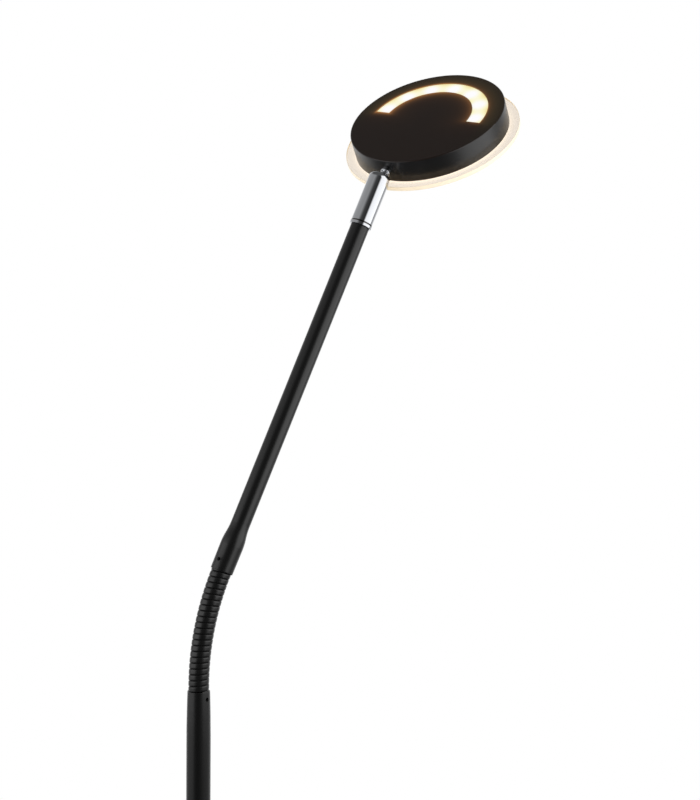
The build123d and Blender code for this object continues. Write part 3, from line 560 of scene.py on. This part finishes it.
def mesh_piece(name, points, faces, material):
    """New mesh object with outward faces, smooth but for its sharp edges."""
    mesh = bpy.data.meshes.new(name)
    mesh.from_pydata(points, [], faces)
    work = bmesh.new()
    work.from_mesh(mesh)
    bmesh.ops.recalc_face_normals(work, faces=work.faces)
    work.to_mesh(mesh)
    work.free()
    mesh.polygons.foreach_set("use_smooth", [True] * len(mesh.polygons))
    mesh.set_sharp_from_angle(angle=SHARP_ANGLE)
    mesh.materials.append(material)
    piece = bpy.data.objects.new(name, mesh)
    bpy.context.scene.collection.objects.link(piece)
    return piece


def lofted(name, sections, material, ends=True):
    """Closed piece through rings of points, all of one count, with a cap at either end or joined round."""
    count = len(sections[0])
    points = [point for section in sections for point in section]
    rows = len(sections) - 1 if ends else len(sections)
    faces = []
    for row in range(rows):
        here = row * count
        after = (row + 1) % len(sections) * count
        for column in range(count):
            beside = (column + 1) % count
            faces.append((here + column, here + beside, after + beside, after + column))
    if ends:
        faces.append(tuple(range(count)))
        faces.append(tuple(range(len(points) - count, len(points))))
    return mesh_piece(name, points, faces, material)


def winding_half(name, first_turn, last_turn, material):
    """Crowned flat wire of the gooseneck, wound between two turns."""
    half = NECK_PITCH / 2 - BAND_GAP
    profile = []
    for index in range(-BAND_POINTS, BAND_POINTS + 1):
        share = math.sin(math.pi / 2 * index / BAND_POINTS)
        profile.append((share * half, NECK_CREST - BAND_CROWN * abs(share) ** BAND_POWER))
    profile += [(half, BAND_FOOT), (-half, BAND_FOOT)]
    sections = []
    for step in range(round(first_turn * STEPS_PER_TURN), round(last_turn * STEPS_PER_TURN) + 1):
        turn = step / STEPS_PER_TURN
        length = NECK_PITCH * (turn + 0.5)
        angle = NECK_START + 2 * math.pi * turn
        sections.append([on_neck(length + side, angle, radius) for side, radius in profile])
    return lofted(name, sections, material)


def sleeve_half(name, low, high, radius, bore, material):
    """Round sleeve, or rod where it has no bore, between two lengths of the gooseneck's axis."""
    lengths = [low + (high - low) * ring / (SLEEVE_RINGS - 1) for ring in range(SLEEVE_RINGS)]
    turns = [2 * math.pi * side / SLEEVE_SIDES for side in range(SLEEVE_SIDES)]
    sections = [[on_neck(length, turn, radius) for turn in turns] for length in lengths]
    if bore:
        sections += [[on_neck(length, turn, bore) for turn in turns] for length in reversed(lengths)]
    return lofted(name, sections, material, ends=not bore)


def gooseneck(finishes):
    """Winding, core and lead in two halves, lower and upper; the CAD nodes they stand for are hidden."""
    middle = NECK_LENGTH / 2
    wire = finishes["black_wire"]
    rubber = finishes["black_rubber"]
    halves = (
        ("lower", 0.0, middle, 0.0, NECK_TURNS / 2, "stand", "neck"),
        ("upper", middle, NECK_LENGTH, NECK_TURNS / 2, NECK_TURNS, "neck", "arm"),
    )
    for side, low, high, first, last, below, above in halves:
        winding = winding_half(f"winding_{side}", first, last, wire)
        core = sleeve_half(f"core_{side}", low, high, CORE_RADIUS, CORE_BORE, rubber)
        lead = sleeve_half(f"lead_{side}", low, high, LEAD_RADIUS, 0.0, rubber)
        pieces = (
            ("neck_winding", "black_wire", winding),
            ("neck_core", "black_rubber", core),
            ("neck_lead", "black_rubber", lead),
        )
        for node, slot, piece in pieces:
            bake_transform(piece)
            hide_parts(node)


# Stage, light and camera


def camera_axes():
    """Right, up and forward directions of the fitted camera."""
    right = Vector((math.cos(CAMERA_AZIMUTH), math.sin(CAMERA_AZIMUTH), 0))
    level = Vector((-math.sin(CAMERA_AZIMUTH), math.cos(CAMERA_AZIMUTH), 0))
    forward = level * math.cos(CAMERA_PITCH) - UP * math.sin(CAMERA_PITCH)
    rise = level * math.sin(CAMERA_PITCH) + UP * math.cos(CAMERA_PITCH)
    across = right * math.cos(CAMERA_ROLL) + rise * math.sin(CAMERA_ROLL)
    over = rise * math.cos(CAMERA_ROLL) - right * math.sin(CAMERA_ROLL)
    return across, over, forward


def place_camera():
    """Camera at the photograph's angle."""
    across, over, forward = camera_axes()
    data = bpy.data.cameras.new("camera")
    data.lens = CAMERA_LENS
    data.sensor_width = SENSOR
    data.sensor_fit = "AUTO"
    data.clip_start, data.clip_end = CAMERA_CLIP
    camera = bpy.data.objects.new("camera", data)
    turn = Matrix((across, over, -forward)).transposed().to_4x4()
    camera.matrix_world = Matrix.Translation(CAMERA_PLACE) @ turn
    bpy.context.scene.collection.objects.link(camera)
    bpy.context.scene.camera = camera


def softbox(name, bearing, distance, width, low, high, radiance, fade_in, fade_up):
    """Soft upright panel around the lamp, faded in from its left and its foot."""
    level = -camera_axes()[2]
    level.z = 0
    level.normalize()
    way = Matrix.Rotation(math.radians(bearing), 3, "Z") @ level
    data = bpy.data.lights.new(name, "AREA")
    data.shape = "RECTANGLE"
    data.size = width
    data.size_y = high - low
    data.energy = radiance * math.pi * width * (high - low)
    data.use_nodes = True
    tree = data.node_tree
    place = add(tree, "ShaderNodeNewGeometry")
    split = add(tree, "ShaderNodeSeparateXYZ")
    tree.links.new(place.outputs["Parametric"], split.inputs["Vector"])
    across = smooth(tree, split.outputs["X"], *fade_in, easing="LINEAR")
    rise = smooth(tree, split.outputs["Y"], *fade_up)
    tree.links.new(calc(tree, "MULTIPLY", across, rise), tree.nodes["Emission"].inputs["Strength"])
    light = bpy.data.objects.new(name, data)
    light.location = SOFTBOX_AIM + way * distance + Vector((0, 0, (low + high) / 2))
    light.rotation_euler = (-way).to_track_quat("-Z", "Y").to_euler()
    light.visible_camera = False
    bpy.context.scene.collection.objects.link(light)


def room(tree):
    """Brightness that reflections find in the room: by bearing about the arm, dim above and below."""
    front = -camera_axes()[2]
    front -= ARM_AXIS * front.dot(ARM_AXIS)
    front.normalize()
    way = add(tree, "ShaderNodeTexCoord").outputs["Generated"]
    bearing = calc(tree, "ARCTAN2", along(tree, way, ARM_AXIS.cross(front)), along(tree, way, front))
    turn = calc(tree, "MULTIPLY_ADD", bearing, 0.5 / math.pi, 0.5)
    walls = ramp(tree, turn, [(degrees / 360 + 0.5, (value, value, value)) for degrees, value in ROOM])
    height = along(tree, way, UP)
    high = smooth(tree, height, *ROOM_HIGH)
    between = calc(tree, "MULTIPLY", smooth(tree, height, *ROOM_LOW), calc(tree, "SUBTRACT", 1.0, high))
    level = mixed(tree, between, ROOM_DIM, walls)
    return calc(tree, "ADD", level, calc(tree, "MULTIPLY", high, ROOM_OVERHEAD))


def sky():
    """White where the camera looks, the room in reflections, and an even fill."""
    world = bpy.data.worlds.new("studio")
    bpy.context.scene.world = world
    world.use_nodes = True
    world.cycles.sampling_method = "NONE"
    tree = world.node_tree
    path = add(tree, "ShaderNodeLightPath").outputs
    direct = calc(tree, "LESS_THAN", path["Glossy Depth"], 0.5)
    through = calc(tree, "MULTIPLY", path["Is Transmission Ray"], direct)
    seen = calc(tree, "MAXIMUM", path["Is Camera Ray"], through)
    mirrored = calc(tree, "MAXIMUM", path["Is Glossy Ray"], calc(tree, "SUBTRACT", 1.0, direct))
    lit = mixed(tree, mirrored, SKY_DIFFUSE, room(tree))
    back = tree.nodes["Background"]
    back.inputs["Color"].default_value = (1, 1, 1, 1)
    tree.links.new(mixed(tree, seen, lit, 1.0), back.inputs["Strength"])


def floor_material():
    """Pale floor, clear from below and fading out at its border."""
    material, tree, shader = new_material("pale_floor")
    shader.inputs["Base Color"].default_value = FLOOR_TONE
    shader.inputs["Roughness"].default_value = FLOOR_ROUGH
    shader.inputs["Specular IOR Level"].default_value = 0.0
    shader.inputs["Emission Color"].default_value = (1, 1, 1, 1)
    path = add(tree, "ShaderNodeLightPath").outputs
    seen = calc(tree, "MAXIMUM", path["Is Camera Ray"], path["Is Glossy Ray"])
    seen = calc(tree, "MAXIMUM", seen, path["Is Transmission Ray"])
    tree.links.new(calc(tree, "MULTIPLY", seen, FLOOR_GLOW), shader.inputs["Emission Strength"])
    place = add(tree, "ShaderNodeNewGeometry").outputs
    split = add(tree, "ShaderNodeSeparateXYZ")
    tree.links.new(place["Position"], split.inputs["Vector"])
    radius = diagonal(tree, split.outputs["X"], split.outputs["Y"])
    inner = smooth(tree, radius, FLOOR_RADIUS, FLOOR_RADIUS / 2)
    above = calc(tree, "SUBTRACT", 1.0, place["Backfacing"])
    tree.links.new(calc(tree, "MULTIPLY", inner, above), shader.inputs["Alpha"])
    return material


def floor():
    """Round floor that keeps the lamp's shadow."""
    points = [(0, 0, FLOOR_LEVEL)]
    for side in range(FLOOR_SIDES):
        angle = 2 * math.pi * side / FLOOR_SIDES
        points.append((FLOOR_RADIUS * math.cos(angle), FLOOR_RADIUS * math.sin(angle), FLOOR_LEVEL))
    faces = [(0, side + 1, (side + 1) % FLOOR_SIDES + 1) for side in range(FLOOR_SIDES)]
    disc = mesh_piece("floor", points, faces, floor_material())
    disc.data.flip_normals()


place_camera()
gooseneck(dress_nodes())
sky()
floor()
for name, panel in SOFTBOXES.items():
    softbox(name, **panel)
bpy.context.scene.view_settings.view_transform = "Standard"
